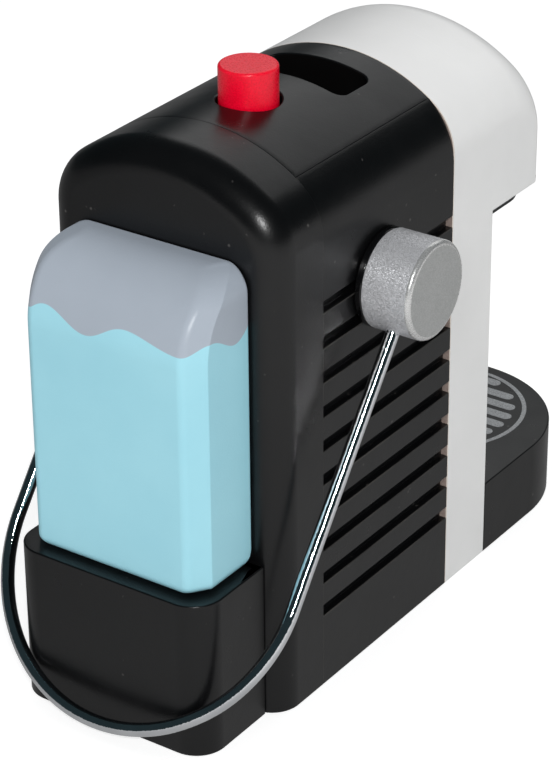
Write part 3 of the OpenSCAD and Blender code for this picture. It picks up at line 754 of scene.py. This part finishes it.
# (growth, depth) down a peg's hole, from its rounded rim to the middle of its floor
DOWN_A_HOLE = ((PEG_RIM, 0), (0.1, 0.1), (0, PEG_RIM), (0, PEG_ROOM), (0.01 - PEG_HOLE, PEG_ROOM))
ledge = merge(
    pierced(bare_loop(ledge_line, LEDGE_EDGE), [bare_loop(p, -PEG_RIM) for p in pegs], flat(ledge_hi.z), 5),
    wall([ring_at(ledge_line, -i, z) for z, i in ends(0, ledge_hi.z, LEDGE_FOOT, LEDGE_EDGE, 4)]),
    pierced(bare_loop(ledge_line, LEDGE_FOOT), [], flat(0), 14),
    *[wall([ring_at(p, grow, ledge_hi.z - d) for grow, d in DOWN_A_HOLE]) for p in pegs])


def ledge_face(f):
    """Bare wood in the pegs' holes."""
    c = f.calc_center_median() / MM
    return 1 if any(math.hypot(c.x - s * PEG_SPAN / 2, c.y - peg_y) < PEG_HOLE for s in (-1, 1)) and c.z > 30 else 0


make("ledge_shell", *ledge, "housing", ["tank_ledge"], "black_paint", [black, wood], pick=ledge_face)

# ---------------------------------------------------------------- water tank, rolled over at its top
T_ROUND, T_SIDE, T_TOP_FRONT = 29.0, 10.0, 0.8
T_EDGE, T_HEEL, T_FRONT = 4.0, 7.0, 2.0
# the upright corners turn 54 degrees from the back to a flat facet, which meets the side in a crease
T_BEVEL, T_KNEE, T_CREASE, T_SLOPE = 7.9, 4.4, 1.0, math.tan(math.radians(36))
T_SLACK = 0.5
ROLL_STEPS, UPRIGHT_STEPS = 40, 10


def tank_ring(z, side_in=0, back_in=0, all_in=0, front_in=0.0):
    """The tank's outline at a height, drawn in at its sides, back, all round or front."""
    x, rear = tank_hi.x - side_in - all_in, tank_hi.y - T_SLACK - back_in - all_in
    near_y = tank_lo.y + max(all_in, front_in)
    room = rear - near_y
    front_round, k = min(T_FRONT, 0.1 * room), min(1.0, 0.8 * room / T_BEVEL)
    b = T_BEVEL * k
    knee = x - b * T_SLOPE
    return [(px, py, z) for px, py, _, _ in rounded(
        [(-x, near_y, front_round), (x, near_y, front_round), (x, rear - b, T_CREASE * k), (knee, rear, T_KNEE * k),
         (-knee, rear, T_KNEE * k), (-x, rear - b, T_CREASE * k)], 6)]


foot = tank_lo.z
roll_start = tank_hi.z - T_ROUND
rings = [tank_ring(foot + d, all_in=i, front_in=fall(T_HEEL, d)) for d, i in reversed(quarter(T_EDGE, 8))]
rings += [tank_ring(foot + d, front_in=fall(T_HEEL, d)) for d in (4.7, 5.5, 6.4)]
rings += [tank_ring(foot + T_HEEL + (roll_start - foot - T_HEEL) * k / UPRIGHT_STEPS) for k in range(UPRIGHT_STEPS)]
for k in range(ROLL_STEPS + 1):
    d = T_ROUND * (1 - math.sin(math.pi / 2 * k / ROLL_STEPS))
    rings.append(tank_ring(tank_hi.z - d, fall(T_SIDE, d), fall(T_ROUND, d), 0, fall(T_TOP_FRONT, d)))
make("tank_shell", *skin(rings), "water_tank", ["water_tank"], "tank_paint", [tank_mat])

# ---------------------------------------------------------------- button
BUTTON_EDGE = 1.1
cap_r, cap_h = (cap_hi.x - cap_lo.x) / 2, cap_hi.z - cap_lo.z
profile = [(0, 0), (cap_r - 1, 0), (cap_r - 0.3, 0.3), (cap_r, 1)] + far_edge(cap_r, cap_h, BUTTON_EDGE)
profile += [(cap_r * 0.5, cap_h), (0, cap_h)]
make("button_shell", *moved(turned(profile, 96), Matrix.Translation((0, button_mid.y, cap_lo.z))), "button",
     ["button_cap"], "red_paint", [red])

# ---------------------------------------------------------------- the button's spring, shorter when it is pressed
SPRING_R, TURNS, CLOSE, TURN_STEPS = 0.6, 5, 1.65, 40
coil = (spring_hi.x - spring_lo.x) / 2 - SPRING_R
climb = spring_hi.z - spring_lo.z - 2 * SPRING_R


def spring_level(t):
    """The coil's height after t turns; its first and last turns lie close."""
    if t < 1:
        return CLOSE * t
    if t > TURNS - 1:
        return climb - CLOSE * (TURNS - t)
    return CLOSE + (climb - 2 * CLOSE) * (t - 1) / (TURNS - 2)


rings = []
for i in range(TURNS * TURN_STEPS + 1):
    a = 2 * math.pi * i / TURN_STEPS
    level = spring_lo.z + SPRING_R + spring_level(i / TURN_STEPS)
    section = [(coil + SPRING_R * math.cos(2 * math.pi * k / 12), SPRING_R * math.sin(2 * math.pi * k / 12))
               for k in range(12)]
    rings.append([(q * math.cos(a), button_mid.y + q * math.sin(a), level + h) for q, h in section])
spring = make("button_coil", *skin(rings), "button", ["button_spring"], "steel", [steely])
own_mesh(spring)

# ---------------------------------------------------------------- knobs and spacer rings
KNOB_EDGE, KNOB_BORE = 1.8, 5.0
knob_r, knob_h = (knob_hi.z - knob_lo.z) / 2, knob_hi.x - knob_lo.x
ring_h = ring_hi.x - ring_lo.x
near_end = [(KNOB_BORE, 0), (knob_r - 0.5, 0), (knob_r - 0.14, 0.14), (knob_r, 0.5)]
profile = near_end + far_edge(knob_r, knob_h, KNOB_EDGE) + [(knob_r * 0.6, knob_h), (0, knob_h)]
spacer = near_end + [(r, ring_h - h) for r, h in reversed(near_end)]


def knob_face(f):
    """The turned side; the rim, in lighter and glossier paint for a painted highlight; or the flat face, in darker
    paint for painted shade.
    """
    c = f.calc_center_median() / MM
    if abs(c.x) < knob_hi.x - KNOB_EDGE + 0.02:
        return 0
    return 1 if math.hypot(c.y - PIVOT.y, c.z - PIVOT.z) > knob_r - KNOB_EDGE + 0.02 else 2


for s, side in ((1, "right"), (-1, "left")):
    outwards = Matrix.Rotation(math.radians(90 * s), 4, "Y")
    at_knob = Matrix.Translation((s * knob_lo.x, PIVOT.y, PIVOT.z)) @ outwards
    at_ring = Matrix.Translation((s * ring_lo.x, PIVOT.y, PIVOT.z)) @ outwards
    make(side + "_knob_shell", *moved(turned(profile, 144), at_knob), "handle", [side + "_knob"], "silver_paint",
         [silver, silver_rim_highlight, shaded_silver_face], pick=knob_face)
    make(side + "_spacer_shell", *moved(turned(spacer, 144), at_ring), "handle", [side + "_spacer"], "black_gloss",
         [gloss])

# ---------------------------------------------------------------- wire bail
WIRE_R, LEG, WIRE_END = 2.6, 123.4, 7.0
LEG_STEPS, BOW_STEPS, WIRE_SIDES = 40, 160, 32
bow = (knob_lo.x + knob_hi.x) / 2 - 1.0
tilt = math.asin((bail_hi.y - WIRE_R - PIVOT.y) / (LEG + bow))
path = [(bow, WIRE_END + (LEG - WIRE_END) * k / LEG_STEPS) for k in range(LEG_STEPS + 1)]
path += [(bow * math.cos(math.pi * k / BOW_STEPS), LEG + bow * math.sin(math.pi * k / BOW_STEPS))
         for k in range(1, BOW_STEPS)]
path += [(-bow, LEG - (LEG - WIRE_END) * k / LEG_STEPS) for k in range(LEG_STEPS + 1)]
rings = []
for i, (x, s) in enumerate(path):
    a, b = path[max(i - 1, 0)], path[min(i + 1, len(path) - 1)]
    t = Vector((b[0] - a[0], 0, -(b[1] - a[1]))).normalized()
    n = Vector((t.z, 0, -t.x))
    ring = []
    for k in range(WIRE_SIDES):
        w = 2 * math.pi * k / WIRE_SIDES
        p = Vector((x, 0, -s)) + n * (WIRE_R * math.cos(w)) + Vector((0, WIRE_R * math.sin(w), 0))
        ring.append(tuple(PIVOT + Matrix.Rotation(tilt, 3, "X") @ p))
    rings.append(ring)
make("bail_wire", *skin(rings), "handle", ["wire_bail"], "chrome_wire", [chromed])

# ---------------------------------------------------------------- the other CAD nodes keep their shape
slots = {"drip_grate_print": silver_print, "button_washer": steely, "button_screw": steely}
for name, obj in nodes.items():
    if name in slots or name.endswith("dowels") or name in ("spout_dowel", "tank_pegs", "button_stem", "handle_axle"):
        obj.data.materials.clear()
        obj.data.materials.append(slots.get(name, wood))

# ---------------------------------------------------------------- floor, world, lights
scene = bpy.context.scene
scene.view_settings.view_transform = "Standard"


def floor_material():
    m = Nodes("floor")
    path = m.new("ShaderNodeLightPath")
    tone = m.ramp(m.noise(3, 2, 0.5), [(0.3, (0.60, 0.60, 0.60)), (0.7, (0.62, 0.62, 0.62))])
    # painted light: mirror reflections see a dark floor colour with a painted glow in its place
    m.color(m.blend(path.outputs["Is Glossy Ray"], tone, (0.12, 0.12, 0.12, 1)))
    m.rough(m.level(m.noise(40, 2, 0.5), 0.3, 0.7, 0.85, 0.95))
    # the painted glow in reflections is brightest on the side of the lamp
    xyz = m.new("ShaderNodeSeparateXYZ")
    m.link(m.place, xyz.inputs["Vector"])
    near = m.sum(m.sum(xyz.outputs["X"], -0.855, "MULTIPLY"), m.sum(xyz.outputs["Y"], 0.519, "MULTIPLY"))
    mirrored = m.sum(path.outputs["Is Glossy Ray"], m.level(near, -0.05, 0.40, 0.14, 0.64), "MULTIPLY")
    seen = m.sum(m.sum(path.outputs["Is Camera Ray"], path.outputs["Is Transmission Ray"]), 0.62, "MULTIPLY")
    m.link(m.sum(seen, mirrored), m.shader.inputs["Emission Strength"])
    m.set(Emission_Color=(1, 1, 1, 1))
    return m.mat


bm = bmesh.new()
bmesh.ops.create_grid(bm, x_segments=8, y_segments=8, size=6.0)
mesh = bpy.data.meshes.new("floor")
bm.to_mesh(mesh)
bm.free()
mesh.materials.append(floor_material())
floor = bpy.data.objects.new("floor", mesh)
scene.collection.objects.link(floor)

def studio_world():
    """White to the camera, plain soft light for the surfaces, and a dark room in mirror reflections."""
    world = bpy.data.worlds.new("studio")
    world.use_nodes = True
    tree = world.node_tree

    def new(kind):
        return tree.nodes.new(kind)

    def link(a, b):
        tree.links.new(a, b)

    def by_height(stops):
        node = new("ShaderNodeValToRGB")
        for e, (at, tone) in zip(node.color_ramp.elements, stops):
            e.position, e.color = at, (*tone, 1)
        link(height, node.inputs["Fac"])
        return node.outputs["Color"]

    def glow(color, strength=1.0):
        node = new("ShaderNodeBackground")
        node.inputs["Strength"].default_value = strength
        link(color, node.inputs["Color"])
        return node.outputs[0]

    def choose(fac, a, b):
        node = new("ShaderNodeMixShader")
        link(fac, node.inputs["Fac"])
        link(a, node.inputs[1])
        link(b, node.inputs[2])
        return node.outputs[0]

    direction, split = new("ShaderNodeTexCoord"), new("ShaderNodeSeparateXYZ")
    link(direction.outputs["Generated"], split.inputs["Vector"])
    height = split.outputs["Z"]
    light = glow(by_height(((0.0, (0.98, 0.99, 1.0)), (1.0, (0.75, 0.76, 0.77)))), 0.53)
    # the room behind the lamps is dark, down to the edge of the white table
    room = glow(by_height(((0.0, (0.45, 0.45, 0.45)), (0.02, (0.018, 0.030, 0.034)))))
    white_behind = tree.nodes["Background"]
    white_behind.inputs["Color"].default_value = (1, 1, 1, 1)
    white_behind.inputs["Strength"].default_value = 1.0
    path, seen = new("ShaderNodeLightPath"), new("ShaderNodeMath")
    seen.operation = "MAXIMUM"
    link(path.outputs["Is Camera Ray"], seen.inputs[0])
    link(path.outputs["Is Transmission Ray"], seen.inputs[1])
    unseen = choose(path.outputs["Is Glossy Ray"], light, room)
    link(choose(seen.outputs[0], unseen, white_behind.outputs[0]), tree.nodes["World Output"].inputs["Surface"])
    return world


scene.world = studio_world()
AIM = Vector((0, 0.04, 0.12))


def area(name, way, distance, size, power, mirrored=True):
    """An area lamp that lights the object from a direction; mirrored lamps show in reflections."""
    data = bpy.data.lights.new(name, "AREA")
    data.shape = "RECTANGLE"
    data.size, data.size_y = size
    data.energy = power
    obj = bpy.data.objects.new(name, data)
    obj.location = AIM + Vector(way) * distance
    obj.rotation_euler = (AIM - obj.location).to_track_quat("-Z", "Y").to_euler()
    obj.visible_glossy = mirrored
    scene.collection.objects.link(obj)


area("key", (-0.53, 0.66, 0.53), 2.4, (0.26, 0.26), 25.0)
area("soft key", (-0.45, 0.74, 0.50), 2.4, (0.7, 0.7), 12.0, mirrored=False)
area("rim", (0.18, -0.76, 0.62), 2.0, (1.9, 1.0), 5.6)

# ---------------------------------------------------------------- camera, fitted to the photo
FOCAL_PX, HEIGHT_PX, SENSOR = 2874.74, 760.0, 36.0
AZIMUTH, ELEVATION, ROLL = (math.radians(a) for a in (214.923, 27.866, -0.530))
CAMERA_AT = (-0.54981, 0.84566, 0.60348)
cam_data = bpy.data.cameras.new("camera")
cam_data.sensor_width = SENSOR
cam_data.sensor_fit = "AUTO"
cam_data.lens = FOCAL_PX * SENSOR / HEIGHT_PX
cam_data.clip_start, cam_data.clip_end = 0.05, 50.0
cam = bpy.data.objects.new("camera", cam_data)
scene.collection.objects.link(cam)
back = Vector((math.sin(AZIMUTH) * math.cos(ELEVATION), -math.cos(AZIMUTH) * math.cos(ELEVATION),
               math.sin(ELEVATION)))
right = Vector((math.cos(AZIMUTH), math.sin(AZIMUTH), 0))
up = back.cross(right)
right, up = (right * math.cos(ROLL) + up * math.sin(ROLL), up * math.cos(ROLL) - right * math.sin(ROLL))
cam.matrix_world = Matrix.Translation(CAMERA_AT) @ Matrix((right, up, back)).transposed().to_4x4()
scene.camera = cam
